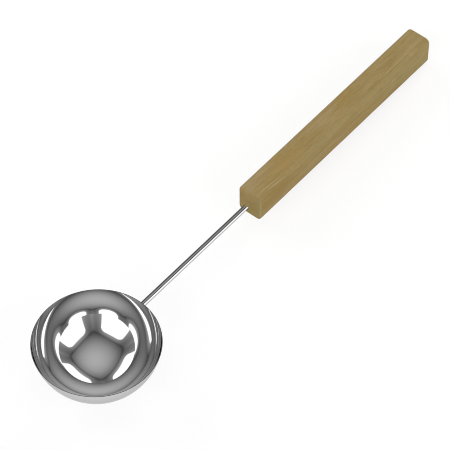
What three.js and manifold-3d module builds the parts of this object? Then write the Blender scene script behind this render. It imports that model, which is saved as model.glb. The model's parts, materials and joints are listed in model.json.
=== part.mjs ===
// Sauna ladle: a spun steel bowl, a steel rod welded to its wall, and a wooden bar handle that is
// bonded onto the rod's grooved tang.
// Millimetres, +Z up. The ladle lies as it does on a bench: on the bottom of its bowl and on the far
// lower edge of its handle. The pieces are drawn in a level frame first, with the rim in the plane
// z = 0, the bowl's axis on Z and the rod along +X, and the whole ladle is then tipped to its rest.

import * as THREE from 'three';
import { mergeVertices } from 'three/addons/utils/BufferGeometryUtils.js';
import { LoftGeometry } from 'three/addons/geometries/LoftGeometry.js';
import Module from 'manifold-3d';

const wasm = await Module();
wasm.setup();

// Bowl
const RIM_DIAMETER = 91.5; // outside of the mouth, before the lip's edges are broken
const BOWL_DEPTH = 39.8; // outside, from the flat of the lip to the bottom
const BOWL_WALL = 0.5;
const LIP_EASE = 0.05; // how far both edges of the lip are broken

// Rod
const ROD_DIAMETER = 4.2;
const ROD_DROP = 6.2; // rod axis below the rim
const ROD_EXPOSED = 120; // from the rim's circle to the handle
const TANG_LENGTH = 65; // rod inside the handle
const TANG_CHAMFER = 0.8;

// Grooves that key the tang in its adhesive
const GROOVE_PITCH = 9;
const GROOVE_WIDTH = 2.4;
const GROOVE_DEPTH = 0.4;

// Weld
const WELD_LEG = 1.6; // along the rod and along the bowl's wall
const WELD_BODY = 0.3; // how far the hollow face stands off the corner, as a share of the leg

// Handle
const HANDLE_LENGTH = 200;
const HANDLE_WIDTH = 20.4;
const HANDLE_HEIGHT = 25;
const HANDLE_EDGE_RADIUS = 4; // along the four long edges
const HANDLE_END_EASE = 1.25; // around both end faces

// Bond
const ADHESIVE_WALL = 0.2; // between the rod and the bore
const ADHESIVE_MOUTH = 0.15; // adhesive stops this far inside the handle's front face
const ADHESIVE_FLOOR = 2; // past the tang's end
const DRILL_POINT_ANGLE = 118; // degrees

// Clearance between pieces that meet
const JOINT_GAP = 0.1;

// Fineness of the round forms
const BOWL_STEPS_ROUND = 64;
const BOWL_STEPS_UP = 16;
const ROD_STEPS_ROUND = 24;
const WELD_STEPS = 5;
const EDGE_STEPS = 6;

// Worked out from the sizes above
const rimRadius = RIM_DIAMETER / 2;
const rodRadius = ROD_DIAMETER / 2;
const sphereRadius = (rimRadius ** 2 + BOWL_DEPTH ** 2) / (2 * BOWL_DEPTH);
const sphereCentre = new THREE.Vector3(0, 0, sphereRadius - BOWL_DEPTH);
const handleStart = rimRadius + ROD_EXPOSED;
const handleEnd = handleStart + HANDLE_LENGTH;
const tangEnd = handleStart + TANG_LENGTH;
const boreRadius = rodRadius + JOINT_GAP + ADHESIVE_WALL + JOINT_GAP;
const boreEnd = tangEnd + JOINT_GAP + ADHESIVE_FLOOR + JOINT_GAP;
const drillPointSlope = 1 / Math.tan(THREE.MathUtils.degToRad(DRILL_POINT_ANGLE / 2));

const steel = new THREE.MeshStandardMaterial({ color: 0xd6d6d6, metalness: 1, roughness: 0.06 });
const weldMetal = new THREE.MeshStandardMaterial({ color: 0xc2c2c0, metalness: 1, roughness: 0.3 });
const wood = new THREE.MeshStandardMaterial({ color: 0x9b865a, metalness: 0, roughness: 0.6 });
const resin = new THREE.MeshStandardMaterial({ color: 0xb39a68, metalness: 0, roughness: 0.4 });

// A closed geometry as a solid that can be cut
function solidFrom(geometry) {
  const bare = geometry.clone();
  bare.deleteAttribute('normal');
  bare.deleteAttribute('uv');
  const merged = mergeVertices(bare);
  const corners = merged.index.array;
  const triangles = [];
  for (let i = 0; i < corners.length; i += 3) {
    const [a, b, c] = corners.subarray(i, i + 3);
    if (a !== b && b !== c && c !== a) triangles.push(a, b, c);
  }
  return new wasm.Manifold(new wasm.Mesh({
    numProp: 3,
    vertProperties: Float32Array.from(merged.attributes.position.array),
    triVerts: Uint32Array.from(triangles),
  }));
}

function geometryFrom(solid) {
  const cut = solid.getMesh();
  const geometry = new THREE.BufferGeometry();
  geometry.setAttribute('position', new THREE.BufferAttribute(cut.vertProperties, 3));
  geometry.setIndex(new THREE.BufferAttribute(cut.triVerts, 1));
  geometry.computeVertexNormals();
  return geometry;
}

function subtract(geometry, cutter) {
  return geometryFrom(solidFrom(geometry).subtract(solidFrom(cutter)));
}

// A profile of [radius, distance along X] points, turned about the rod's axis
function turnedAboutRod(profile) {
  const points = profile.map(([radius, along]) => new THREE.Vector2(radius, along));
  const geometry = new THREE.LatheGeometry(points, ROD_STEPS_ROUND);
  geometry.rotateZ(-Math.PI / 2);
  geometry.translate(0, 0, -ROD_DROP);
  return geometry;
}

// Points on a wall of the bowl, from the bottom up to the lip's broken edge
function wallProfile(radius) {
  const edgeAngle = Math.acos((sphereCentre.z + LIP_EASE) / radius);
  const points = [];
  for (let i = 0; i <= BOWL_STEPS_UP; i++) {
    const angle = (edgeAngle * i) / BOWL_STEPS_UP;
    points.push(new THREE.Vector2(radius * Math.sin(angle), sphereCentre.z - radius * Math.cos(angle)));
  }
  return points;
}

// Bowl: an outer cap and an inner cap that meet at a flat lip, turned about Z
function bowlGeometry() {
  const outer = wallProfile(sphereRadius);
  const inner = wallProfile(sphereRadius - BOWL_WALL).reverse();
  const lip = [
    new THREE.Vector2(outer.at(-1).x - LIP_EASE, 0),
    new THREE.Vector2(inner[0].x + LIP_EASE, 0),
  ];
  const geometry = new THREE.LatheGeometry([...outer, ...lip, ...inner], BOWL_STEPS_ROUND);
  geometry.rotateX(Math.PI / 2);
  return geometry;
}

// Outline of the grooved tang from the handle's face inwards, grown by an offset
function tangOutline(offset) {
  const radius = rodRadius + offset;
  const grooves = Math.floor((TANG_LENGTH - GROOVE_PITCH) / GROOVE_PITCH);
  const halfGroove = GROOVE_WIDTH / 2;
  const outline = [];
  for (let i = 1; i <= grooves; i++) {
    const middle = handleStart + i * GROOVE_PITCH;
    outline.push([radius, middle - halfGroove + offset]);
    outline.push([radius - GROOVE_DEPTH, middle - halfGroove + GROOVE_DEPTH + offset]);
    outline.push([radius - GROOVE_DEPTH, middle + halfGroove - GROOVE_DEPTH - offset]);
    outline.push([radius, middle + halfGroove - offset]);
  }
  outline.push([radius, tangEnd - TANG_CHAMFER + offset]);
  outline.push([radius - TANG_CHAMFER, tangEnd + offset]);
  outline.push([0, tangEnd + offset]);
  return outline;
}

// Distance from the bowl's axis to its outside, seen along X, at a point around the rod
function wallAt(angle, fromRodAxis) {
  const across = fromRodAxis * Math.cos(angle);
  const up = -ROD_DROP + fromRodAxis * Math.sin(angle) - sphereCentre.z;
  return Math.sqrt((sphereRadius + JOINT_GAP) ** 2 - across ** 2 - up ** 2);
}

// Rod: a bar with a grooved tang, coped to the bowl's outside
function rodGeometry() {
  const underside = -Math.PI / 2;
  const insideWall = wallAt(underside, rodRadius) - ROD_DIAMETER;
  const bar = turnedAboutRod([[0, insideWall], [rodRadius, insideWall], ...tangOutline(0)]);
  const cope = new THREE.SphereGeometry(sphereRadius + JOINT_GAP, 2 * BOWL_STEPS_ROUND, BOWL_STEPS_ROUND);
  cope.translate(sphereCentre.x, sphereCentre.y, sphereCentre.z);
  return subtract(bar, cope);
}

// One section through the weld: over the hollow face, in along the wall, and back along the rod
function weldSection(angle) {
  const inner = rodRadius + JOINT_GAP;
  const corner = new THREE.Vector2(wallAt(angle, inner), inner);
  const toe = new THREE.Vector2(wallAt(angle, inner + WELD_LEG), inner + WELD_LEG);
  const crest = new THREE.Vector2(corner.x + WELD_LEG, inner);
  const hollow = corner.clone().addScalar(WELD_BODY * WELD_LEG);
  const face = new THREE.QuadraticBezierCurve(crest, hollow, toe).getPoints(WELD_STEPS);
  const alongWall = [];
  for (let i = WELD_STEPS - 1; i >= 0; i--) {
    const radius = inner + (WELD_LEG * i) / WELD_STEPS;
    alongWall.push(new THREE.Vector2(wallAt(angle, radius), radius));
  }
  return [...face, ...alongWall].map(({ x, y: radius }) => new THREE.Vector3(
    x,
    radius * Math.cos(angle),
    radius * Math.sin(angle) - ROD_DROP,
  ));
}

// Weld: a fillet that follows the curve where the round rod meets the round wall
function weldGeometry() {
  const sections = [];
  for (let i = 0; i <= ROD_STEPS_ROUND; i++) {
    const turn = (i % ROD_STEPS_ROUND) / ROD_STEPS_ROUND;
    sections.push(weldSection(2 * Math.PI * turn));
  }
  return new LoftGeometry(sections);
}

// Outline of the handle's end face, whose corners keep the long edges' radius after the ends are eased
function handleEndShape() {
  const halfWidth = HANDLE_WIDTH / 2 - HANDLE_END_EASE;
  const halfHeight = HANDLE_HEIGHT / 2 - HANDLE_END_EASE;
  const radius = HANDLE_EDGE_RADIUS - HANDLE_END_EASE;
  const shape = new THREE.Shape();
  const quarter = Math.PI / 2;
  shape.absarc(halfWidth - radius, halfHeight - radius, radius, 0, quarter);
  shape.absarc(radius - halfWidth, halfHeight - radius, radius, quarter, 2 * quarter);
  shape.absarc(radius - halfWidth, radius - halfHeight, radius, 2 * quarter, 3 * quarter);
  shape.absarc(halfWidth - radius, radius - halfHeight, radius, 3 * quarter, 4 * quarter);
  shape.closePath();
  return shape;
}

// Handle: a rounded bar with eased ends and a drilled blind bore
function handleGeometry() {
  const bar = new THREE.ExtrudeGeometry(handleEndShape(), {
    depth: HANDLE_LENGTH - 2 * HANDLE_END_EASE,
    bevelThickness: HANDLE_END_EASE,
    bevelSize: HANDLE_END_EASE,
    bevelSegments: EDGE_STEPS,
    curveSegments: EDGE_STEPS,
  });
  bar.rotateX(Math.PI / 2);
  bar.rotateZ(Math.PI / 2);
  bar.translate(handleStart + HANDLE_END_EASE, 0, -ROD_DROP);
  const beforeFace = handleStart - ROD_DIAMETER;
  const bore = turnedAboutRod([
    [0, beforeFace],
    [boreRadius, beforeFace],
    [boreRadius, boreEnd],
    [0, boreEnd + boreRadius * drillPointSlope],
  ]);
  return subtract(bar, bore);
}

// Adhesive: fills the bore around the tang and past its end
function adhesiveGeometry() {
  const outside = boreRadius - JOINT_GAP;
  const mouth = handleStart + ADHESIVE_MOUTH;
  const inside = tangOutline(JOINT_GAP).reverse();
  return turnedAboutRod([
    ...inside,
    [rodRadius + JOINT_GAP, mouth],
    [outside, mouth],
    [outside, boreEnd - JOINT_GAP],
    [0, boreEnd - JOINT_GAP + outside * drillPointSlope],
  ]);
}

// Angle by which the level ladle tips until the handle's eased far edge meets the bench
function restTilt() {
  const along = handleEnd - HANDLE_END_EASE - sphereCentre.x;
  const down = sphereCentre.z + ROD_DROP + HANDLE_HEIGHT / 2 - HANDLE_END_EASE;
  return Math.asin((sphereRadius - HANDLE_END_EASE) / Math.hypot(along, down)) - Math.atan2(down, along);
}

function piece(name, geometry, material) {
  const mesh = new THREE.Mesh(geometry, material);
  mesh.name = name;
  return mesh;
}

const level = new THREE.Group();
level.add(
  piece('bowl', bowlGeometry(), steel),
  piece('rod', rodGeometry(), steel.clone()),
  piece('weld_fillet', weldGeometry(), weldMetal),
  piece('handle', handleGeometry(), wood),
  piece('adhesive', adhesiveGeometry(), resin),
);

// At rest, with the origin under the middle of the ladle, on the bench
level.rotation.y = restTilt();
const ladle = new THREE.Group();
ladle.add(level);
ladle.updateMatrixWorld(true);
const reach = new THREE.Box3().setFromObject(ladle, true);
const middle = reach.getCenter(new THREE.Vector3());
level.position.set(-middle.x, -middle.y, -reach.min.z);

export default ladle;
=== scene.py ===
# Looks of the sauna ladle: polished steel bowl and rod, blended weld, oiled wooden handle and cured resin.
# Metres. Pieces are drawn in a level frame, with the rim in the plane z = 0, the bowl's axis on Z and the
# rod along +X, and are then carried to the ladle's rest on the bench, which the record's mount gives.

import json
import math

import bmesh
import bpy
from mathutils import Matrix, Vector


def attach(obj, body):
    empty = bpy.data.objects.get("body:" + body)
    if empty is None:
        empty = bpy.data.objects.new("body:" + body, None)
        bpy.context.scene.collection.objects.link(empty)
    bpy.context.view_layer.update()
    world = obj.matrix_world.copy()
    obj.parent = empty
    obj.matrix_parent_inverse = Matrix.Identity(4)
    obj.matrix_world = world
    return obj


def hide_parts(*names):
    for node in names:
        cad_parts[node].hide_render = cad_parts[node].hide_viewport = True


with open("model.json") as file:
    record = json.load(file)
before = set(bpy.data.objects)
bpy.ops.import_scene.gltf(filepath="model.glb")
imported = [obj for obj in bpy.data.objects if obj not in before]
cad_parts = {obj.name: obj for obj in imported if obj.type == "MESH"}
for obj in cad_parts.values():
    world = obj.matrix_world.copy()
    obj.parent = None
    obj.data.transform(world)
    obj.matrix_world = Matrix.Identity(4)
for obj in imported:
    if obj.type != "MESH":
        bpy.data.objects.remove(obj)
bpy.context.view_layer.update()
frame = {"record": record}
scene = bpy.context.scene

# Bowl
RIM_RADIUS = 0.04575
BOWL_DEPTH = 0.0398
BOWL_WALL = 0.0005
LIP_EASE = 0.00005
SPHERE_RADIUS = (RIM_RADIUS**2 + BOWL_DEPTH**2) / (2 * BOWL_DEPTH)
SPHERE_HEIGHT = SPHERE_RADIUS - BOWL_DEPTH

# Rod and weld
ROD_RADIUS = 0.0021
ROD_DROP = 0.0062
ROD_EXPOSED = 0.12
TANG_LENGTH = 0.065
TANG_CHAMFER = 0.0008
GROOVE_PITCH = 0.009
GROOVE_WIDTH = 0.0024
GROOVE_DEPTH = 0.0004
JOINT_GAP = 0.0001
WELD_LEG = 0.0016
WELD_BODY = 0.3

# Handle
HANDLE_START = RIM_RADIUS + ROD_EXPOSED
HANDLE_LENGTH = 0.2
HANDLE_WIDTH = 0.0204
HANDLE_HEIGHT = 0.025
HANDLE_EDGE_RADIUS = 0.004
HANDLE_END_EASE = 0.00125

# Bore and the resin in it
ADHESIVE_WALL = 0.0002
ADHESIVE_MOUTH = 0.00015
ADHESIVE_FLOOR = 0.002
DRILL_POINT_ANGLE = math.radians(118)
BORE_RADIUS = ROD_RADIUS + JOINT_GAP + ADHESIVE_WALL + JOINT_GAP
BORE_DEPTH = TANG_LENGTH + JOINT_GAP + ADHESIVE_FLOOR + JOINT_GAP
BORE_POINT = BORE_RADIUS / math.tan(DRILL_POINT_ANGLE / 2)
RESIN_CLEARANCE = 0.00001
RESIN_BRIM = 0.2

# Camera, seen from the point on the rod's level that it looks at
VIEW_POINT = Vector((0.139295, 0.001063, -ROD_DROP))
VIEW_AZIMUTH = math.radians(-139.675)
VIEW_ELEVATION = math.radians(51.951)
VIEW_DISTANCE = 1.92042
VIEW_ROLL = math.radians(-0.445)
VIEW_LENS = 214.37
VIEW_NEAR = 0.05
VIEW_FAR = 100

# Studio room, in units of the distance from the ladle to a wall
ROOM_TURN = math.radians(5.1)
CEILING_HEIGHT = 1.4
CEILING_JOINT = 0.1
WINDOW_HALF_WIDTH = 0.496
WINDOW_TOP = 0.986
WINDOW_SILL = 0.15
WINDOW_CORNER = 0.196
WINDOW_SOFT_SIDE = 0.052
WINDOW_SOFT_TOP = 0.102

# Least values that others are divided by
LEAST_REACH = 0.0001
LEAST_RISE = 0.01

# Brightness of the room, where 1 is white
WHITE = (1, 1, 1, 1)
WINDOW_LIGHT = 2.82
WINDOW_SEEN = 1.1
WALL_LIGHT = 0.235
WALL_FALL = 0.112
WALL_MIDDLE = 0.793
WALL_VALLEY = 0.25
WALL_ENDS = 0.341
WALL_SHADE = 0.412
WALL_SHADE_FROM = 1.138
LINTEL_LIGHT = 0.156
LINTEL_FADE = 0.347
LINTEL_HALF_WIDTH = 0.533
DADO_LIGHT = 0.9
CEILING_LIGHT = 0.408
CEILING_FALL = 0.807
CEILING_GLOW = 0.158
CEILING_EDGE = 0.128
CEILING_EDGE_FROM = 0.54

# Soft lamp overhead
LAMP_SIZE = 1.2
LAMP_HEIGHT = 1.6
LAMP_POWER = 1.7

# Floor: its grey in the light that it gives back, then its grey and the white added to it where it is seen
FLOOR_HALF = 12.0
FLOOR_COLOUR = 0.75
FLOOR_SEEN = 0.25
FLOOR_LIFT = 0.78

# Steel
MIRROR_STEEL = (0.98, 0.98, 0.98, 1)
# Bowl's outside: a plainer finish, its reflection darkened further by painted shade
PLAIN_SHADED_STEEL = (0.62, 0.62, 0.62, 1)
# Rod's colour away from its bright strip, darkened as a painted dim reflection
PAINTED_DIM_STEEL = (0.52, 0.52, 0.52, 1)
CUT_STEEL = (0.45, 0.45, 0.45, 1)
# Painted dark reflections in strips along the rod
PAINTED_DARK_STEEL = (0.13, 0.13, 0.13, 1)
WELD_STEEL = (0.55, 0.55, 0.54, 1)
PLAIN_EDGE = (0.7, 0.7, 0.7, 1)
MIRROR_ROUGHNESS = 0.02
WORN_ROUGHNESS = 0.06
WELD_ROUGHNESS = (0.12, 0.3)
WELD_RELIEF = 0.4
WELD_RELIEF_HEIGHT = 0.00005
SCUFF_HEIGHT = 0.004

# Painted reflections in strips along the rod, bright and dark: turns from its top towards the right, and
# half widths
PAINTED_GLEAM_TURN = math.radians(22)
PAINTED_GLEAM_HALF = math.radians(42)
PAINTED_DARK_LINES = [(math.radians(27), math.radians(6)), (math.radians(-44), math.radians(28))]
LINE_SOFTNESS = math.radians(2)
PAINTED_HANDLE_GLEAM_HALF = math.radians(95)

# Distances from the handle at which a painted bright reflection covers the rod's top, and at which that
# starts
PAINTED_GLEAM_BY_HANDLE = 0.004
PAINTED_GLEAM_START = 1.3 * PAINTED_GLEAM_BY_HANDLE

# Wood
WOOD_DEEP = (0.302, 0.211, 0.074, 1)
WOOD_LIGHT = (0.358, 0.266, 0.120, 1)
WOOD_GREY = (0.365, 0.273, 0.140, 1)
WOOD_BROWN = (0.342, 0.229, 0.080, 1)
WOOD_RED = (0.296, 0.195, 0.066, 1)
WOOD_DARK = (0.290, 0.213, 0.080, 1)
WOOD_GREEN = (0.342, 0.266, 0.118, 1)
WOOD_PALE = (0.390, 0.302, 0.148, 1)
WOOD_EDGE_BAND = (0.320, 0.250, 0.108, 1)
WOOD_PAINTED_EDGE_SHADE = (0.160, 0.095, 0.030, 1)
END_GRAIN = (0.96, 0.955, 0.92, 1)

# Soft places: colour, strength, middle as measured from the middle of the handle's front, and half sizes
TOP = HANDLE_HEIGHT / 2
RIGHT = -HANDLE_WIDTH / 2
WOOD_PLACES = [
    (WOOD_GREY, 1.0, (0.008, 0.004, TOP), (0.024, 0.007, 0.006)),
    (WOOD_BROWN, 0.8, (0.043, -0.002, TOP), (0.034, 0.009, 0.006)),
    (WOOD_BROWN, 1.0, (0.037, 0.003, TOP), (0.007, 0.009, 0.006)),
    (WOOD_GREY, 0.8, (0.086, 0.004, TOP), (0.026, 0.006, 0.006)),
    (WOOD_BROWN, 0.8, (0.116, 0.005, TOP), (0.014, 0.006, 0.006)),
    (WOOD_GREY, 0.4, (0.150, -0.001, TOP), (0.045, 0.006, 0.006)),
    (WOOD_GREEN, 0.6, (0.115, -0.0085, TOP), (0.080, 0.004, 0.004)),
    (WOOD_RED, 1.0, (0.012, RIGHT, 0.004), (0.032, 0.007, 0.015)),
    (WOOD_DARK, 0.7, (0.070, RIGHT, 0.002), (0.055, 0.004, 0.002)),
    (WOOD_GREY, 0.5, (0.085, RIGHT, -0.002), (0.070, 0.004, 0.003)),
    (WOOD_BROWN, 0.7, (0.115, RIGHT, -0.008), (0.055, 0.004, 0.005)),
    (WOOD_GREEN, 1.0, (0.178, RIGHT, 0.000), (0.045, 0.006, 0.016)),
    (WOOD_RED, 0.8, (0.158, RIGHT, -0.010), (0.014, 0.004, 0.004)),
    (WOOD_DARK, 0.6, (0.190, RIGHT, 0.011), (0.022, 0.004, 0.003)),
    (WOOD_GREY, 0.6, (0.012, RIGHT, -0.008), (0.022, 0.003, 0.003)),
]

# Spots, paler greener bands at the front's right edge, and painted shade along edges that turn from the
# light, with a clear outline, in the same form
WOOD_SPOTS = [
    (WOOD_DARK, 0.8, (0.140, RIGHT, 0.008), (0.004, 0.004, 0.003)),
    (WOOD_PALE, 0.8, (0.155, RIGHT, 0.006), (0.003, 0.004, 0.002)),
    (WOOD_DARK, 0.7, (0.163, RIGHT, 0.002), (0.006, 0.004, 0.003)),
    (WOOD_DARK, 0.8, (0.184, RIGHT, 0.010), (0.002, 0.004, 0.002)),
    (WOOD_PALE, 0.6, (0.006, RIGHT, 0.0066), (0.009, 0.004, 0.0008)),
    (WOOD_BROWN, 0.7, (0.000, 0.0080, 0.010), (0.0015, 0.004, 0.004)),
    # Paler, greener bands down the front's right edge
    (WOOD_EDGE_BAND, 0.8, (0.000, -0.0075, 0.008), (0.002, 0.004, 0.007)),
    (WOOD_EDGE_BAND, 0.8, (0.000, -0.0090, -0.002), (0.002, 0.003, 0.012)),
    # Painted shade along the front's left and bottom edges and the upper left and lower right long edges,
    # where rounded edges turn from the light
    (WOOD_PAINTED_EDGE_SHADE, 0.5, (0.000, 0.0100, 0.004), (0.002, 0.0015, 0.012)),
    (WOOD_PAINTED_EDGE_SHADE, 0.6, (0.000, -0.0010, -0.0122), (0.002, 0.014, 0.0016)),
    (WOOD_PAINTED_EDGE_SHADE, 0.3, (0.100, 0.0096, 0.0106), (0.400, 0.0013, 0.0016)),
    (WOOD_PAINTED_EDGE_SHADE, 0.4, (0.100, -0.0100, -0.0098), (0.400, 0.0016, 0.0018)),
]

# Single lines that follow the grain, in the same form
WOOD_LINES = [
    (WOOD_PALE, 0.8, (0.012, -0.0053, TOP), (0.016, 0.0008, 0.004)),
    (WOOD_PALE, 0.7, (0.019, -0.0069, TOP), (0.018, 0.0008, 0.004)),
    (WOOD_DARK, 1.0, (0.015, -0.0061, TOP), (0.018, 0.0005, 0.004)),
    (WOOD_RED, 0.9, (0.127, 0.0050, TOP), (0.012, 0.0006, 0.004)),
    (WOOD_DARK, 0.9, (0.150, -0.0016, TOP), (0.060, 0.0006, 0.004)),
    (WOOD_PALE, 0.9, (0.172, -0.0004, TOP), (0.040, 0.0006, 0.004)),
]

# Share of a place at full strength, and how far its ends run out along the fibres
PATCH_CORE = 0.3
FEATHER = 0.03

# Grain and growth rings
GRAIN_DRIFT = 0.005
GRAIN_STRAIGHTENS = 0.05
PITH = (0.0, 0.018, -0.03)
ACROSS_GRAIN = (0.0, 1.0, 1.0)
RING_SPACING = 0.0026

# Contrasts of the wood's layers
CLOUD_CONTRAST = 0.9
STREAK_CONTRAST = 1.2
LINE_CONTRAST = 2.7
MOTTLE_CONTRAST = 0.8
FLECK_CONTRAST = 0.3
RING_CONTRAST = 0.04
FIBRE_CONTRAST = 0.06
PORE_CONTRAST = 0.08

# Surface of the wood
WOOD_ROUGHNESS = (0.52, 0.68)
WOOD_GLOSS = 0.04
WOOD_RELIEF = 0.35
WOOD_RELIEF_HEIGHT = 0.00004
PORE_RELIEF = 0.6
RUBBED_GLOSS = 0.1

# Resin
RESIN_DARK = (0.27, 0.19, 0.08, 1)
RESIN_PALE = (0.38, 0.27, 0.115, 1)
RESIN_ROUGHNESS = (0.3, 0.5)
RESIN_GLOSS = 0.1

# Patterns of noise: repeats in a metre, the same all round or along each axis, then detail and roughness
BOWL_SMUDGES = (45.0, 3.0, 0.55)
BOWL_WEAR = (700.0, 4.0, 0.65)
LATHE_RINGS = (2500.0, 2.0, 0.6)
ROD_SMUDGES = (60.0, 3.0, 0.55)
DRAWING_MARKS = ((30.0, 5000.0, 5000.0), 3.0, 0.6)
WELD_MOTTLE = (900.0, 4.0, 0.6)
WELD_RIPPLES = ((2500.0, 900.0, 900.0), 2.0, 0.5)
RING_WARP = ((14.0, 70.0, 70.0), 2.0, 0.5)
CLOUDS = ((30.0, 90.0, 90.0), 2.0, 0.5)
STREAKS = ((22.0, 320.0, 320.0), 3.0, 0.55)
FINE_LINES = ((40.0, 700.0, 700.0), 3.0, 0.6)
MOTTLE = ((220.0, 420.0, 420.0), 2.0, 0.5)
FLECKS = ((450.0, 900.0, 900.0), 1.0, 0.5)
FIBRES = ((60.0, 3000.0, 3000.0), 2.0, 0.6)
PORES = ((160.0, 2600.0, 2600.0), 1.0, 0.5)
RUBBED_PATCHES = ((30.0, 120.0, 120.0), 2.0, 0.5)
RESIN_CLOUDS = (1200.0, 3.0, 0.5)
RESIN_DUST = (6000.0, 2.0, 0.6)

# Ranges of a noise or of a growth ring over which something comes in
SMUDGE_RANGE = (0.35, 0.75)
MOTTLE_RANGE = (0.3, 0.7)
FIBRE_RANGE = (0.2, 0.8)
STREAKY_RANGE = (0.7, 0.3)
PORE_RANGE = (0.66, 0.76)
LATE_WOOD_RANGE = (0.35, 0.85)
RING_END_RANGE = (0.9, 1.0)

# Least shares of what comes and goes along the wood
PATCHY_LEAST = 0.3
STREAKY_LEAST = 0.4
END_BAND_LEAST = 0.2

# Ranges over the bar's edges and halves
LONG_EDGE_RANGE = (-HANDLE_EDGE_RADIUS, -0.45 * HANDLE_EDGE_RADIUS)
END_EDGE_RANGE = (-1.3 * HANDLE_END_EASE, -0.5 * HANDLE_END_EASE)
END_FACE_RANGE = (-0.2 * HANDLE_END_EASE, 0.0)
UPPER_RANGE = (-0.2 * HANDLE_HEIGHT, 0.2 * HANDLE_HEIGHT)
RIGHT_RANGE = (-0.3 * HANDLE_WIDTH, -0.4 * HANDLE_WIDTH)

# Distance of the extra rows of points that keep flats flat beside rounded edges
SUPPORT = 0.00002

# Reflections that are followed, and the width over which a pixel gathers light
GLOSSY_BOUNCES = 6
PIXEL_WIDTH = 1.0

# Angle above which an edge between faces is sharp
SHARP_ANGLE = math.radians(40)

# Fineness of the round forms
BOWL_STEPS_ROUND = 256
BOWL_STEPS_UP = 72
LIP_STEPS = 6
ROD_STEPS_ROUND = 64
WELD_STEPS = 12
EDGE_STEPS = 12
RESIN_STEPS = 6


# Level frame to the bench, from the mount on the handle's end
def rest_matrix():
    mounts = {mount["name"]: mount for mount in frame["record"]["mounts"]}
    end = mounts["handle_end"]
    place = Matrix.Translation(end["pos_m"])
    tilt = Matrix.Rotation(math.atan2(-end["axis"][2], end["axis"][0]), 4, "Y")
    from_end = Matrix.Translation((-HANDLE_START - HANDLE_LENGTH, 0, ROD_DROP))
    return place @ tilt @ from_end


REST = rest_matrix()


# Camera
def add_camera():
    data = bpy.data.cameras.new("camera")
    data.lens = VIEW_LENS
    data.clip_start = VIEW_NEAR
    data.clip_end = VIEW_FAR
    camera = bpy.data.objects.new("camera", data)
    scene.collection.objects.link(camera)
    level = math.cos(VIEW_ELEVATION)
    towards = Vector((
        level * math.cos(VIEW_AZIMUTH),
        level * math.sin(VIEW_AZIMUTH),
        math.sin(VIEW_ELEVATION),
    ))
    turn = towards.to_track_quat("Z", "Y").to_matrix().to_4x4() @ Matrix.Rotation(VIEW_ROLL, 4, "Z")
    camera.matrix_world = REST @ Matrix.Translation(VIEW_POINT + VIEW_DISTANCE * towards) @ turn
    scene.camera = camera


# Node trees
class Tree:
    """One node tree, built from calls that take and give sockets."""

    def __init__(self, owner):
        owner.use_nodes = True
        self.nodes = owner.node_tree.nodes
        self.links = owner.node_tree.links
        self.nodes.clear()

    def add(self, kind, inputs=None, **settings):
        node = self.nodes.new(kind)
        for name, value in settings.items():
            setattr(node, name, value)
        for key, value in (inputs or {}).items():
            if isinstance(value, bpy.types.NodeSocket):
                self.links.new(value, node.inputs[key])
            else:
                node.inputs[key].default_value = value
        return node

    def math(self, operation, *values):
        return self.add("ShaderNodeMath", dict(enumerate(values)), operation=operation).outputs[0]

    def step(self, value, start, end, low=0.0, high=1.0):
        inputs = dict(enumerate((value, start, end, low, high)))
        return self.add("ShaderNodeMapRange", inputs, interpolation_type="SMOOTHSTEP").outputs[0]

    def mix(self, factor, a, b, blend="MIX"):
        inputs = {0: factor, 6: a, 7: b}
        return self.add("ShaderNodeMix", inputs, data_type="RGBA", blend_type=blend).outputs[2]

    def blend(self, factor, a, b):
        return self.add("ShaderNodeMix", {0: factor, 2: a, 3: b}, data_type="FLOAT").outputs[0]

    def split(self, vector):
        return self.add("ShaderNodeSeparateXYZ", {0: vector}).outputs

    def join(self, x, y, z):
        return self.add("ShaderNodeCombineXYZ", {0: x, 1: y, 2: z}).outputs[0]

    def noise(self, vector, pattern):
        """Noise in one of the patterns above."""
        repeats, detail, roughness = pattern
        if isinstance(repeats, tuple):
            vector = self.scaled(vector, repeats)
            repeats = 1.0
        inputs = {"Vector": vector, "Scale": repeats, "Detail": detail, "Roughness": roughness}
        return self.add("ShaderNodeTexNoise", inputs).outputs[0]

    def scaled(self, vector, scale):
        return self.add("ShaderNodeVectorMath", {0: vector, 1: scale}, operation="MULTIPLY").outputs[0]

    def length(self, vector):
        return self.add("ShaderNodeVectorMath", {0: vector}, operation="LENGTH").outputs["Value"]

    def patch(self, vector, centre, halves, strength):
        """A strength in the core of an oval region, which falls softly to 0 at the region's edge."""
        away = self.add("ShaderNodeVectorMath", {0: vector, 1: centre}, operation="SUBTRACT").outputs[0]
        away = self.add("ShaderNodeVectorMath", {0: away, 1: halves}, operation="DIVIDE").outputs[0]
        return self.step(self.length(away), PATCH_CORE, 1.0, strength, 0.0)

    def along(self, vector, direction):
        """How far a place lies in a direction."""
        node = self.add("ShaderNodeVectorMath", {0: vector, 1: direction}, operation="DOT_PRODUCT")
        return node.outputs["Value"]

    def seen(self):
        """1 for what the camera sees, straight or in steel or glass."""
        path = self.add("ShaderNodeLightPath").outputs
        seen = self.math("ADD", path["Is Camera Ray"], path["Is Glossy Ray"])
        return self.math("ADD", seen, path["Is Transmission Ray"])

    def bump(self, height, strength, distance):
        inputs = {"Height": height, "Strength": strength, "Distance": distance}
        return self.add("ShaderNodeBump", inputs).outputs[0]


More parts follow.
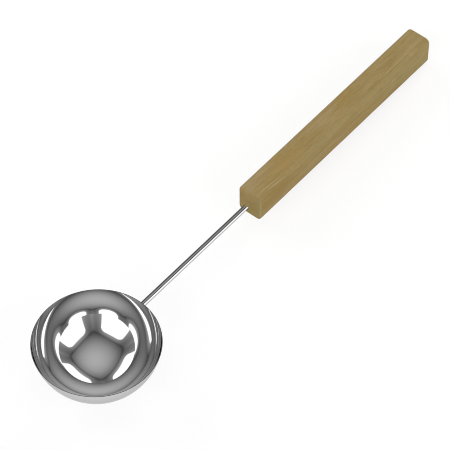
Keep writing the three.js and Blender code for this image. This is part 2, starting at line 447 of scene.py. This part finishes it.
# Studio room: four white windows, grey walls and a ceiling with a soft glow
def window_panes(tree, across, up):
    """1 in a window, which has round upper corners and soft edges."""
    over_x = tree.math("MAXIMUM", tree.math("SUBTRACT", across, WINDOW_HALF_WIDTH - WINDOW_CORNER), 0.0)
    over_z = tree.math("MAXIMUM", tree.math("SUBTRACT", up, WINDOW_TOP - WINDOW_CORNER), 0.0)
    reach = tree.math("ADD", tree.math("POWER", over_x, 2.0), tree.math("POWER", over_z, 2.0))
    reach = tree.math("SQRT", reach)
    upward = tree.math("DIVIDE", over_z, tree.math("MAXIMUM", reach, LEAST_REACH))
    softness = tree.blend(upward, WINDOW_SOFT_SIDE, WINDOW_SOFT_TOP)
    pane_start = tree.math("SUBTRACT", WINDOW_CORNER, softness)
    pane_end = tree.math("ADD", WINDOW_CORNER, softness)
    return tree.step(reach, pane_start, pane_end, 1.0, 0.0)


def room_walls(tree, across, up):
    """Walls with windows, darker towards the ceiling and midway between a window and a corner."""
    from_middle = tree.math("MAXIMUM", across, WALL_MIDDLE - WALL_VALLEY)
    from_middle = tree.math("SUBTRACT", from_middle, WALL_MIDDLE)
    valley = tree.math("POWER", tree.math("DIVIDE", from_middle, 1 - WALL_MIDDLE), 2.0)
    valley = tree.math("MULTIPLY_ADD", valley, WALL_ENDS, 1.0)
    wall = tree.math("MULTIPLY", tree.math("MULTIPLY_ADD", up, -WALL_FALL, WALL_LIGHT), valley)

    # A glow above each window
    fade = tree.math("MAXIMUM", tree.math("SUBTRACT", up, WINDOW_TOP), 0.0)
    fade = tree.math("EXPONENT", tree.math("DIVIDE", fade, -LINTEL_FADE))
    beside = tree.math("POWER", tree.math("DIVIDE", across, LINTEL_HALF_WIDTH), 2.0)
    lintel = tree.math("MULTIPLY", tree.math("MAXIMUM", tree.math("SUBTRACT", 1.0, beside), 0.0), fade)
    wall = tree.math("MULTIPLY_ADD", lintel, LINTEL_LIGHT, wall)

    shade = tree.step(up, WALL_SHADE_FROM, CEILING_HEIGHT, 1.0, 1 - WALL_SHADE)
    wall = tree.math("MULTIPLY", wall, shade)
    wall = tree.blend(window_panes(tree, across, up), wall, WINDOW_LIGHT)
    above_sill = tree.step(up, WINDOW_SILL - WINDOW_SOFT_SIDE, WINDOW_SILL + WINDOW_SOFT_SIDE)
    return tree.blend(above_sill, DADO_LIGHT, wall)


def room_ceiling(tree, x, y, z, far):
    """Ceiling, lit from a place off its middle and darker along its edges."""
    scale = tree.math("DIVIDE", CEILING_HEIGHT, tree.math("MAXIMUM", z, LEAST_RISE))
    ceiling_x = tree.math("MULTIPLY", x, scale)
    ceiling_y = tree.math("MULTIPLY", y, scale)
    away = tree.math("POWER", tree.math("SUBTRACT", ceiling_x, CEILING_GLOW), 2.0)
    away = tree.math("ADD", away, tree.math("POWER", ceiling_y, 2.0))
    glow = tree.math("EXPONENT", tree.math("MULTIPLY", away, -CEILING_FALL))
    from_centre = tree.math("MULTIPLY", far, scale)
    edge = tree.step(from_centre, CEILING_EDGE_FROM, 1.0, 1.0, 1 - CEILING_EDGE)
    return tree.math("MULTIPLY", tree.math("MULTIPLY", glow, CEILING_LIGHT), edge)


def add_room():
    world = bpy.data.worlds.new("studio_room")
    scene.world = world
    tree = Tree(world)
    direction = tree.add("ShaderNodeTexCoord").outputs["Generated"]
    turn = (REST.to_3x3() @ Matrix.Rotation(ROOM_TURN, 3, "Z")).to_euler()
    square = tree.add(
        "ShaderNodeVectorRotate",
        {"Vector": direction, "Rotation": turn},
        rotation_type="EULER_XYZ",
        invert=True,
    )
    x, y, z = tree.split(square.outputs[0])
    size_x = tree.math("ABSOLUTE", x)
    size_y = tree.math("ABSOLUTE", y)
    far = tree.math("MAXIMUM", size_x, size_y)
    across = tree.math("DIVIDE", tree.math("MINIMUM", size_x, size_y), far)
    up = tree.math("DIVIDE", z, far)
    wall = room_walls(tree, across, up)
    ceiling = room_ceiling(tree, x, y, z, far)
    is_ceiling = tree.step(up, CEILING_HEIGHT - CEILING_JOINT, CEILING_HEIGHT + CEILING_JOINT)

    # A window's full light falls on the ladle, and the steel shows the window as white
    light = tree.blend(is_ceiling, wall, ceiling)
    light = tree.blend(tree.seen(), light, tree.math("MINIMUM", light, WINDOW_SEEN))
    background = tree.add("ShaderNodeBackground", {"Color": WHITE, "Strength": light})
    tree.add("ShaderNodeOutputWorld", {"Surface": background.outputs[0]})


# Soft lamp overhead, which the steel doesn't show
def add_lamp():
    data = bpy.data.lights.new("lamp", "AREA")
    data.size = LAMP_SIZE
    data.energy = LAMP_POWER
    lamp = bpy.data.objects.new("lamp", data)
    scene.collection.objects.link(lamp)
    lamp.location = (0, 0, LAMP_HEIGHT)
    lamp.visible_glossy = False


# Floor: near white to the eye and in the steel, with a faint shadow of the ladle
def add_floor():
    mesh = bpy.data.meshes.new("floor")
    corners = [(-FLOOR_HALF, -FLOOR_HALF, 0), (FLOOR_HALF, -FLOOR_HALF, 0)]
    corners += [(FLOOR_HALF, FLOOR_HALF, 0), (-FLOOR_HALF, FLOOR_HALF, 0)]
    mesh.from_pydata(corners, [], [(0, 1, 2, 3)])
    floor = bpy.data.objects.new("floor", mesh)
    scene.collection.objects.link(floor)
    material = bpy.data.materials.new("floor")
    tree = Tree(material)
    seen = tree.seen()
    grey = tree.blend(seen, FLOOR_COLOUR, FLOOR_SEEN)
    paint = tree.add("ShaderNodeBsdfDiffuse", {"Color": tree.join(grey, grey, grey)})
    lift = tree.add("ShaderNodeEmission", {"Strength": tree.math("MULTIPLY", seen, FLOOR_LIFT)})
    both = tree.add("ShaderNodeAddShader", {0: paint.outputs[0], 1: lift.outputs[0]})
    tree.add("ShaderNodeOutputMaterial", {"Surface": both.outputs[0]})
    mesh.materials.append(material)


# Meshes
def skin(name, rings, closed=False):
    """A skin over rings of points, one after the other. A ring of one point closes an end."""
    points = [point for ring in rings for point in ring]
    starts = [sum(len(ring) for ring in rings[:i]) for i in range(len(rings))]
    pairs = [(i, i + 1) for i in range(len(rings) - 1)]
    if closed:
        pairs.append((len(rings) - 1, 0))
    faces = []
    for i, j in pairs:
        count = max(len(rings[i]), len(rings[j]))
        for k in range(count):
            corners = [
                starts[i] + k % len(rings[i]),
                starts[i] + (k + 1) % count % len(rings[i]),
                starts[j] + (k + 1) % count % len(rings[j]),
                starts[j] + k % len(rings[j]),
            ]
            faces.append(list(dict.fromkeys(corners)))
    mesh = bpy.data.meshes.new(name)
    mesh.from_pydata(points, [], faces)
    mesh.transform(REST)
    return mesh


def add_piece(name, mesh, node, material):
    """A piece of the ladle that stands for a node, in place of its part, and takes a material."""
    form = bmesh.new()
    form.from_mesh(mesh)
    bmesh.ops.recalc_face_normals(form, faces=form.faces)
    form.to_mesh(mesh)
    form.free()
    mesh.shade_smooth()
    mesh.set_sharp_from_angle(angle=SHARP_ANGLE)
    mesh.materials.append(material)
    piece = bpy.data.objects.new(name, mesh)
    scene.collection.objects.link(piece)
    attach(piece, "root")
    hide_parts(node)


def arc(across, up, radius, start, end, steps):
    """Points on an arc in a plane, with angles measured up from straight down."""
    points = []
    for i in range(steps + 1):
        angle = start + (end - start) * i / steps
        points.append((across + radius * math.sin(angle), up - radius * math.cos(angle)))
    return points


def circle_about_rod(along, radius, steps):
    turns = [2 * math.pi * i / steps for i in range(steps)]
    return [Vector((along, radius * math.cos(turn), radius * math.sin(turn) - ROD_DROP)) for turn in turns]


def wall_at(angle, from_rod_axis):
    """Distance from the bowl's axis to its outside, seen along X, at a point around the rod."""
    across = from_rod_axis * math.cos(angle)
    up = from_rod_axis * math.sin(angle) - ROD_DROP - SPHERE_HEIGHT
    return math.sqrt((SPHERE_RADIUS + JOINT_GAP) ** 2 - across**2 - up**2)


# Bowl
def wall_profile(radius):
    """One side of the bowl's wall, from the bottom up to the broken edge of the lip."""
    edge = math.acos((SPHERE_HEIGHT + LIP_EASE) / radius)
    beside = edge - SUPPORT / radius
    wall = arc(0, SPHERE_HEIGHT, radius, 0, beside, BOWL_STEPS_UP)
    return wall + arc(0, SPHERE_HEIGHT, radius, beside, edge, 1)[1:]


def bowl_mesh():
    outer = wall_profile(SPHERE_RADIUS)
    inner = wall_profile(SPHERE_RADIUS - BOWL_WALL)[::-1]
    outer_edge = outer[-1][0] - LIP_EASE
    inner_edge = inner[0][0] + LIP_EASE
    lip = arc(outer_edge, -LIP_EASE, LIP_EASE, math.pi / 2, math.pi, LIP_STEPS)[1:]
    lip += [(outer_edge - SUPPORT, 0), (inner_edge + SUPPORT, 0)]
    lip += arc(inner_edge, -LIP_EASE, LIP_EASE, math.pi, 3 * math.pi / 2, LIP_STEPS)[:-1]
    rings = []
    for across, up in outer + lip + inner:
        if across == 0:
            rings.append([Vector((0, 0, up))])
            continue
        turns = [2 * math.pi * i / BOWL_STEPS_ROUND for i in range(BOWL_STEPS_ROUND)]
        rings.append([Vector((across * math.cos(turn), across * math.sin(turn), up)) for turn in turns])
    return skin("bowl_polished", rings)


# Rod
def tang_outline():
    """The grooved tang as distances along the rod and radii."""
    outline = []
    shallow = ROD_RADIUS - GROOVE_DEPTH
    for i in range(1, int(TANG_LENGTH / GROOVE_PITCH)):
        middle = HANDLE_START + i * GROOVE_PITCH
        half = GROOVE_WIDTH / 2
        outline.append((middle - half, ROD_RADIUS))
        outline.append((middle - half + GROOVE_DEPTH, shallow))
        outline.append((middle + half - GROOVE_DEPTH, shallow))
        outline.append((middle + half, ROD_RADIUS))
    end = HANDLE_START + TANG_LENGTH
    outline.append((end - TANG_CHAMFER, ROD_RADIUS))
    outline.append((end, ROD_RADIUS - TANG_CHAMFER))
    return outline


def rod_mesh():
    coped = circle_about_rod(0, ROD_RADIUS, ROD_STEPS_ROUND)
    for i, point in enumerate(coped):
        point.x = wall_at(2 * math.pi * i / ROD_STEPS_ROUND, ROD_RADIUS)
    rings = [[Vector((wall_at(0, 0), 0, -ROD_DROP))], coped]
    rings += [circle_about_rod(along, radius, ROD_STEPS_ROUND) for along, radius in tang_outline()]
    rings.append([Vector((HANDLE_START + TANG_LENGTH, 0, -ROD_DROP))])
    return skin("rod_polished", rings)


# Weld
def weld_mesh():
    rings = []
    inner = ROD_RADIUS + JOINT_GAP
    for i in range(ROD_STEPS_ROUND):
        angle = 2 * math.pi * i / ROD_STEPS_ROUND
        corner = Vector((wall_at(angle, inner), inner))
        toe = Vector((wall_at(angle, inner + WELD_LEG), inner + WELD_LEG))
        crest = corner + Vector((WELD_LEG, 0))
        hollow = corner + WELD_BODY * Vector((WELD_LEG, WELD_LEG))
        section = []
        for k in range(WELD_STEPS + 1):
            t = k / WELD_STEPS
            section.append((1 - t) ** 2 * crest + 2 * t * (1 - t) * hollow + t**2 * toe)
        for k in range(WELD_STEPS - 1, -1, -1):
            radius = inner + WELD_LEG * k / WELD_STEPS
            section.append(Vector((wall_at(angle, radius), radius)))
        turn = Vector((math.cos(angle), math.sin(angle)))
        ring = []
        for along, radius in section:
            ring.append(Vector((along, radius * turn.x, radius * turn.y - ROD_DROP)))
        rings.append(ring)
    return skin("weld_blended", rings, closed=True)


# Handle
def handle_ring(along, inset):
    """The bar's outline at a place along it, pulled in by an inset, with points beside its round edges."""
    radius = HANDLE_EDGE_RADIUS - inset
    half_width = HANDLE_WIDTH / 2 - HANDLE_EDGE_RADIUS
    half_height = HANDLE_HEIGHT / 2 - HANDLE_EDGE_RADIUS
    quarter = math.pi / 2
    ring = []
    for turn, (side, level) in enumerate(((1, 1), (-1, 1), (-1, -1), (1, -1))):
        centre = Vector((along, side * half_width, level * half_height - ROD_DROP))
        turns = [turn * quarter + quarter * i / EDGE_STEPS for i in range(EDGE_STEPS + 1)]
        rounded = [centre + radius * Vector((0, math.cos(angle), math.sin(angle))) for angle in turns]
        before = Vector((0, math.sin(turns[0]), -math.cos(turns[0])))
        after = Vector((0, -math.sin(turns[-1]), math.cos(turns[-1])))
        ring += [rounded[0] + SUPPORT * before, *rounded, rounded[-1] + SUPPORT * after]
    return ring


def handle_end(end, inward):
    """Rings over an eased end of the bar, from its flat face to its long sides."""
    rings = [handle_ring(end, HANDLE_END_EASE + SUPPORT)]
    for i in range(EDGE_STEPS + 1):
        angle = math.pi / 2 * i / EDGE_STEPS
        along = end + inward * HANDLE_END_EASE * (1 - math.cos(angle))
        rings.append(handle_ring(along, HANDLE_END_EASE * (1 - math.sin(angle))))
    rings.append(handle_ring(end + inward * (HANDLE_END_EASE + SUPPORT), 0))
    return rings


def handle_mesh():
    end = HANDLE_START + HANDLE_LENGTH
    bottom = HANDLE_START + BORE_DEPTH
    front = handle_end(HANDLE_START, 1)
    points_round = len(front[0])
    rings = [[Vector((bottom + BORE_POINT, 0, -ROD_DROP))]]
    rings.append(circle_about_rod(bottom, BORE_RADIUS, points_round))
    rings.append(circle_about_rod(HANDLE_START, BORE_RADIUS, points_round))
    rings += front
    rings += handle_end(end, -1)[::-1]
    rings.append([Vector((end, 0, -ROD_DROP))])
    return skin("handle_oiled", rings)


# Resin round the tang, which fills the bore up to a small hollow at its mouth
def resin_mesh():
    bottom = HANDLE_START + BORE_DEPTH - RESIN_CLEARANCE
    outer = BORE_RADIUS - RESIN_CLEARANCE
    inner = ROD_RADIUS + RESIN_CLEARANCE
    rings = [[Vector((bottom + BORE_POINT - RESIN_CLEARANCE, 0, -ROD_DROP))]]
    rings.append(circle_about_rod(bottom, outer, ROD_STEPS_ROUND))
    for i in range(RESIN_STEPS + 1):
        t = i / RESIN_STEPS
        hollow = RESIN_BRIM + (1 - RESIN_BRIM) * math.sin(math.pi * t)
        along = HANDLE_START + ADHESIVE_MOUTH * hollow
        rings.append(circle_about_rod(along, outer + (inner - outer) * t, ROD_STEPS_ROUND))
    for along, radius in tang_outline():
        rings.append(circle_about_rod(along, radius + RESIN_CLEARANCE, ROD_STEPS_ROUND))
    end = HANDLE_START + TANG_LENGTH + RESIN_CLEARANCE
    rings.append(circle_about_rod(end, ROD_RADIUS - TANG_CHAMFER + RESIN_CLEARANCE, ROD_STEPS_ROUND))
    rings.append([Vector((end, 0, -ROD_DROP))])
    return skin("resin_cured", rings)


# Materials
def level_place(tree, origin):
    """Places in the level frame, measured from an origin there."""
    place = tree.add("ShaderNodeTexCoord").outputs["Object"]
    start = REST @ origin
    mapping = {"Vector": place, "Location": start, "Rotation": REST.to_euler()}
    return tree.add("ShaderNodeMapping", mapping, vector_type="TEXTURE").outputs[0]


def new_material(name):
    material = bpy.data.materials.new(name)
    return material, Tree(material)


def finish_material(material, tree, shader):
    tree.add("ShaderNodeOutputMaterial", {"Surface": shader.outputs[0]})
    return material


# Bowl's steel: a mirror inside, plainer outside with painted shade in its reflection, duller on the cut
# lip, and fine rings from the lathe
def polished_steel():
    material, tree = new_material("polished_steel")
    place = level_place(tree, Vector((0, 0, SPHERE_HEIGHT)))
    x, y, z = tree.split(place)
    from_axis = tree.length(tree.join(x, y, 0.0))
    middle = SPHERE_RADIUS - BOWL_WALL / 2
    inside = tree.step(tree.length(place), middle - BOWL_WALL / 4, middle + BOWL_WALL / 4, 1.0, 0.0)
    lip = tree.step(z, -SPHERE_HEIGHT - 2 * LIP_EASE, -SPHERE_HEIGHT - LIP_EASE)
    smudge = tree.noise(place, BOWL_SMUDGES)
    rings = tree.noise(tree.join(from_axis, z, 0.0), LATHE_RINGS)
    roughness = tree.step(smudge, *SMUDGE_RANGE, MIRROR_ROUGHNESS, 2 * MIRROR_ROUGHNESS)
    roughness = tree.math("MULTIPLY_ADD", rings, MIRROR_ROUGHNESS / 2, roughness)
    scuff = tree.step(z, -SPHERE_RADIUS + SCUFF_HEIGHT, -SPHERE_RADIUS)
    scuff = tree.math("MULTIPLY", scuff, tree.math("SUBTRACT", 1.0, inside))
    worn = tree.math("MULTIPLY", tree.math("MAXIMUM", lip, scuff), tree.noise(place, BOWL_WEAR))
    roughness = tree.math("MULTIPLY_ADD", worn, WORN_ROUGHNESS, roughness)
    # Outside darker than inside: partly a plainer finish, partly painted shade in what it reflects
    colour = tree.mix(lip, tree.mix(inside, PLAIN_SHADED_STEEL, MIRROR_STEEL), CUT_STEEL)
    shader = tree.add("ShaderNodeBsdfPrincipled", {
        "Base Color": colour,
        "Roughness": roughness,
        "Specular Tint": tree.mix(inside, PLAIN_EDGE, WHITE),
    })
    shader.inputs["Metallic"].default_value = 1
    return finish_material(material, tree, shader)


# Rod's steel: painted reflections in its colour, bright along its top and on top by the handle, dark in
# strips and dim elsewhere, with marks from drawing it in its roughness
def drawn_steel_painted_reflections():
    material, tree = new_material("drawn_steel_painted_reflections")
    place = level_place(tree, Vector((RIM_RADIUS, 0, -ROD_DROP)))
    marks = tree.noise(place, DRAWING_MARKS)
    smudge = tree.noise(place, ROD_SMUDGES)
    roughness = tree.step(smudge, *SMUDGE_RANGE, MIRROR_ROUGHNESS, 2 * MIRROR_ROUGHNESS)
    roughness = tree.math("MULTIPLY_ADD", marks, MIRROR_ROUGHNESS / 2, roughness)

    def strip(turn, half):
        """A strip along the rod, at a turn from its top towards the right."""
        towards = Vector((0, -math.sin(turn), math.cos(turn))) / ROD_RADIUS
        outer = math.cos(half + LINE_SOFTNESS)
        inner = math.cos(max(half - LINE_SOFTNESS, 0))
        return tree.step(tree.along(place, towards), outer, inner)

    # Painted reflections: a bright strip, dark strips and a dim base colour stand in for what the rod
    # reflects
    colour = tree.mix(strip(PAINTED_GLEAM_TURN, PAINTED_GLEAM_HALF), PAINTED_DIM_STEEL, MIRROR_STEEL)
    for turn, half in PAINTED_DARK_LINES:
        colour = tree.mix(strip(turn, half), colour, PAINTED_DARK_STEEL)
    along = tree.split(place)[0]
    # Painted bright reflection on the rod's top by the handle
    by_handle = tree.step(along, ROD_EXPOSED - PAINTED_GLEAM_START, ROD_EXPOSED - PAINTED_GLEAM_BY_HANDLE)
    painted_gleam = tree.math("MULTIPLY", by_handle, strip(PAINTED_GLEAM_TURN, PAINTED_HANDLE_GLEAM_HALF))
    colour = tree.mix(painted_gleam, colour, MIRROR_STEEL)
    shader = tree.add("ShaderNodeBsdfPrincipled", {"Base Color": colour, "Roughness": roughness})
    shader.inputs["Metallic"].default_value = 1
    shader.inputs["Specular Tint"].default_value = PLAIN_EDGE
    return finish_material(material, tree, shader)


# Weld: ground and blended, duller than the bar
def weld_metal():
    material, tree = new_material("weld_metal")
    place = level_place(tree, Vector((RIM_RADIUS, 0, -ROD_DROP)))
    mottle = tree.noise(place, WELD_MOTTLE)
    ripple = tree.noise(place, WELD_RIPPLES)
    shader = tree.add("ShaderNodeBsdfPrincipled", {
        "Roughness": tree.step(mottle, *MOTTLE_RANGE, *WELD_ROUGHNESS),
        "Normal": tree.bump(ripple, WELD_RELIEF, WELD_RELIEF_HEIGHT),
    })
    shader.inputs["Base Color"].default_value = WELD_STEEL
    shader.inputs["Metallic"].default_value = 1
    return finish_material(material, tree, shader)


# Wood: pale brown with growth rings, streaks and fibres along the bar, and softly coloured places
def wood_grain(tree, place):
    """Places along the grain, which crosses the bar a little at its front and is straight further back."""
    x, y, z = tree.split(place)
    drift = tree.math("EXPONENT", tree.math("DIVIDE", x, -GRAIN_STRAIGHTENS))
    drift = tree.math("MULTIPLY", tree.math("SUBTRACT", 1.0, drift), GRAIN_DRIFT)
    return tree.join(x, tree.math("ADD", y, drift), z)


def late_wood(tree, grain):
    """1 in the late part of each growth ring, about a pith outside the bar."""
    warp = tree.noise(grain, RING_WARP)
    pith = tree.add("ShaderNodeVectorMath", {0: grain, 1: PITH}, operation="SUBTRACT").outputs[0]
    from_pith = tree.length(tree.scaled(pith, ACROSS_GRAIN))
    phase = tree.math("DIVIDE", tree.math("MULTIPLY_ADD", warp, RING_SPACING, from_pith), RING_SPACING)
    ring = tree.math("FRACT", phase)
    ring_end = tree.step(ring, *RING_END_RANGE, 1.0, 0.0)
    return tree.math("MULTIPLY", tree.step(ring, *LATE_WOOD_RANGE), ring_end)


def wood_tone(tree, grain, line):
    """The wood's own colour, with clouds, streaks, lines and mottling."""
    layers = [
        (tree.noise(grain, CLOUDS), CLOUD_CONTRAST),
        (tree.noise(grain, STREAKS), STREAK_CONTRAST),
        (line, LINE_CONTRAST),
        (tree.noise(grain, MOTTLE), MOTTLE_CONTRAST),
    ]
    tone = 0.5
    for noise, contrast in layers:
        tone = tree.math("ADD", tone, tree.math("MULTIPLY_ADD", noise, contrast, -contrast / 2))
    return tree.mix(tone, WOOD_LIGHT, WOOD_DEEP)


def wood_edges(tree, place):
    """How far a place belongs to the upper long edges, the lower long edges, an end's edges and an end."""
    x, y, z = tree.split(place)
    side_x = tree.math("ABSOLUTE", tree.math("SUBTRACT", x, HANDLE_LENGTH / 2))
    side_x = tree.math("SUBTRACT", side_x, HANDLE_LENGTH / 2)
    side_y = tree.math("SUBTRACT", tree.math("ABSOLUTE", y), HANDLE_WIDTH / 2)
    side_z = tree.math("SUBTRACT", tree.math("ABSOLUTE", z), HANDLE_HEIGHT / 2)
    long_edge = tree.step(tree.math("MINIMUM", side_y, side_z), *LONG_EDGE_RANGE)
    upper = tree.step(z, *UPPER_RANGE)
    upper_edge = tree.math("MULTIPLY", long_edge, upper)
    lower_edge = tree.math("MULTIPLY", long_edge, tree.math("SUBTRACT", 1.0, upper))
    end_edge = tree.math("MINIMUM", side_x, tree.math("MAXIMUM", side_y, side_z))
    end_edge = tree.step(end_edge, *END_EDGE_RANGE)
    end_face = tree.step(side_x, *END_FACE_RANGE)
    return upper_edge, lower_edge, end_edge, end_face


def light_wood():
    material, tree = new_material("light_wood")
    place = level_place(tree, Vector((HANDLE_START, 0, -ROD_DROP)))
    x, y, z = tree.split(place)
    grain = wood_grain(tree, place)
    line = tree.noise(grain, FINE_LINES)
    fibre = tree.noise(grain, FIBRES)
    pore = tree.step(tree.noise(grain, PORES), *PORE_RANGE)
    upper_edge, lower_edge, end_edge, end_face = wood_edges(tree, place)

    # Long edges: paler and greener above, and darker and redder below as painted shade where they turn
    # from the light
    colour = wood_tone(tree, grain, line)
    patchy = tree.step(tree.noise(grain, RUBBED_PATCHES), *MOTTLE_RANGE, PATCHY_LEAST, 1.0)
    colour = tree.mix(tree.math("MULTIPLY", upper_edge, patchy), colour, WOOD_EDGE_BAND)
    colour = tree.mix(tree.math("MULTIPLY", lower_edge, patchy), colour, WOOD_RED)

    # Places, which run out in fibres, and lines
    streaky = tree.step(line, *STREAKY_RANGE, STREAKY_LEAST, 1.0)
    feathered = tree.join(tree.math("MULTIPLY_ADD", line, FEATHER, x), y, z)
    for tint, strength, (along, across, up), halves in WOOD_PLACES:
        there = tree.patch(feathered, (along + FEATHER / 2, across, up), halves, strength)
        colour = tree.mix(tree.math("MULTIPLY", there, streaky), colour, tint)
    for tint, strength, middle, halves in WOOD_LINES:
        colour = tree.mix(tree.patch(grain, middle, halves, strength), colour, tint)

    # Ends paler and greener at their edges, most at their right edges; spots and painted shade along
    # edges; and darker end grain
    on_right = tree.step(y, *RIGHT_RANGE, END_BAND_LEAST, 1.0)
    colour = tree.mix(tree.math("MULTIPLY", end_edge, on_right), colour, WOOD_EDGE_BAND)
    for tint, strength, middle, halves in WOOD_SPOTS:
        colour = tree.mix(tree.patch(place, middle, halves, strength), colour, tint)
    colour = tree.mix(end_face, colour, END_GRAIN, "MULTIPLY")

    # Fibres, growth rings, pores and flecks
    shade = tree.step(fibre, *FIBRE_RANGE, 1 + FIBRE_CONTRAST, 1 - FIBRE_CONTRAST)
    marks = [
        (late_wood(tree, grain), RING_CONTRAST, 1 + RING_CONTRAST / 3),
        (pore, PORE_CONTRAST, 1.0),
        (tree.noise(grain, FLECKS), FLECK_CONTRAST, 1 + FLECK_CONTRAST / 2),
    ]
    for mark, contrast, most in marks:
        shade = tree.math("MULTIPLY", shade, tree.math("MULTIPLY_ADD", mark, -contrast, most))
    colour = tree.mix(1.0, colour, tree.join(shade, shade, shade), "MULTIPLY")

    rubbed = tree.math("MAXIMUM", upper_edge, end_edge)
    roughness = tree.step(line, *FIBRE_RANGE, *WOOD_ROUGHNESS)
    roughness = tree.math("MULTIPLY_ADD", rubbed, -RUBBED_GLOSS, roughness)
    relief = tree.math("MULTIPLY_ADD", pore, -PORE_RELIEF, fibre)
    shader = tree.add("ShaderNodeBsdfPrincipled", {
        "Base Color": colour,
        "Roughness": roughness,
        "Normal": tree.bump(relief, WOOD_RELIEF, WOOD_RELIEF_HEIGHT),
    })
    shader.inputs["Specular IOR Level"].default_value = WOOD_GLOSS
    return finish_material(material, tree, shader)


# Resin in the bore's mouth, close to the wood's colour
def cured_adhesive():
    material, tree = new_material("cured_adhesive")
    place = level_place(tree, Vector((HANDLE_START, 0, -ROD_DROP)))
    cloud = tree.noise(place, RESIN_CLOUDS)
    dust = tree.noise(place, RESIN_DUST)
    shader = tree.add("ShaderNodeBsdfPrincipled", {
        "Base Color": tree.mix(cloud, RESIN_DARK, RESIN_PALE),
        "Roughness": tree.step(dust, *MOTTLE_RANGE, *RESIN_ROUGHNESS),
    })
    shader.inputs["Specular IOR Level"].default_value = RESIN_GLOSS
    return finish_material(material, tree, shader)


add_camera()
add_room()
add_lamp()
add_floor()
add_piece("bowl_polished", bowl_mesh(), "bowl", polished_steel())
add_piece("rod_polished", rod_mesh(), "rod", drawn_steel_painted_reflections())
add_piece("weld_blended", weld_mesh(), "weld_fillet", weld_metal())
add_piece("handle_oiled", handle_mesh(), "handle", light_wood())
add_piece("resin_cured", resin_mesh(), "adhesive", cured_adhesive())

scene.view_settings.view_transform = "Standard"

# Enough reflections to light the lines inside the rim, and crisp pixels
scene.cycles.glossy_bounces = GLOSSY_BOUNCES
scene.cycles.filter_width = PIXEL_WIDTH
